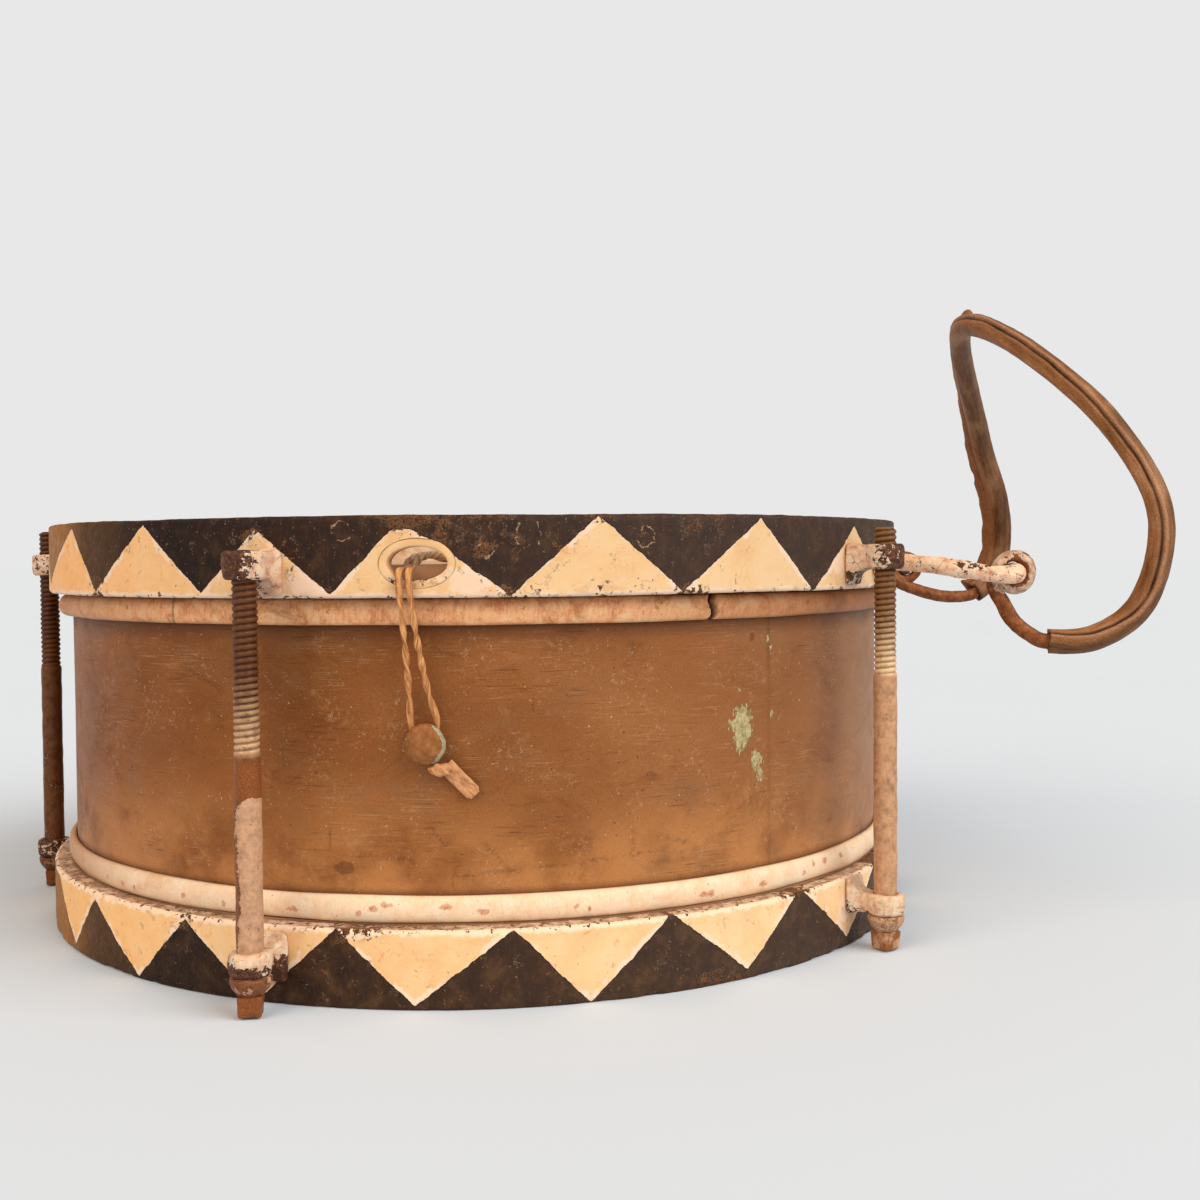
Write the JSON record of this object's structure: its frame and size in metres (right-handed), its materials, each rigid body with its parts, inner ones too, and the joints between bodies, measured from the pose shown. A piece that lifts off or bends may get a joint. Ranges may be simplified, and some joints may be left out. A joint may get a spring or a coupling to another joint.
{
  "type": "side drum",
  "caption": "Antique brass-shell marching side drum with painted wooden hoops, iron tension rods, a gut snare and a hinged leg rest.",
  "frame": {"origin": "centre of the batter head's outer face, on the drum's axis", "axes": "+Z along the drum's axis from the batter head to the snare head, +X towards the leg rest, -Y towards the front snare gate"},
  "size_m": [0.4925, 0.4034, 0.2652],
  "materials": {
    "brass": "aged brown patina with dull bare brass showing through",
    "drum_skin": "dry calfskin, streaked and stained",
    "painted_wood": "cream and black oil paint, chipped and crazed",
    "painted_iron": "cream paint worn through to brown rust",
    "bare_iron": "dark rusty wrought iron",
    "sleeve_leather": "worn tan and dark brown leather",
    "gut": "twisted gut, satin",
    "thong": "dry tan rawhide"
  },
  "bodies": {
    "drum": {"shell": "brass", "snare_stud_front": "brass", "snare_stud_rear": "brass", "snare_head": "drum_skin", "batter_head": "drum_skin", "upper_flesh_hoop": "drum_skin", "lower_flesh_hoop": "drum_skin", "upper_counter_hoop": "painted_wood", "lower_counter_hoop": "painted_wood", "snare_gate_bush_front": "painted_wood", "snare_gate_bush_rear": "painted_wood", "upper_claw_1": "painted_iron", "upper_claw_2": "painted_iron", "upper_claw_3": "painted_iron", "upper_claw_4": "painted_iron", "upper_claw_5": "painted_iron", "lower_claw_1": "painted_iron", "lower_claw_2": "painted_iron", "lower_claw_3": "painted_iron", "lower_claw_4": "painted_iron", "lower_claw_5": "painted_iron", "tension_rod_1": "painted_iron", "tension_rod_2": "painted_iron", "tension_rod_3": "painted_iron", "tension_rod_4": "painted_iron", "tension_rod_5": "painted_iron", "leg_rest_bracket_front": "painted_iron", "leg_rest_bracket_rear": "painted_iron", "snare_gut_loop": "gut", "snare_thong_front_left": "thong", "snare_thong_front_right": "thong", "snare_thong_rear_left": "thong", "snare_thong_rear_right": "thong", "snare_thong_tab_front": "thong", "snare_thong_tab_rear": "thong"},
    "leg_rest": {"leg_rest_wire": "bare_iron", "leg_rest_sleeve": "sleeve_leather"}
  },
  "joints": [
    {"name": "leg_rest_hinge", "type": "hinge", "parent": "drum", "child": "leg_rest", "pos_m": [0.221, 0, 0.1268], "axis": [0, 1, 0], "range_deg": [-82, 80]}
  ]
}
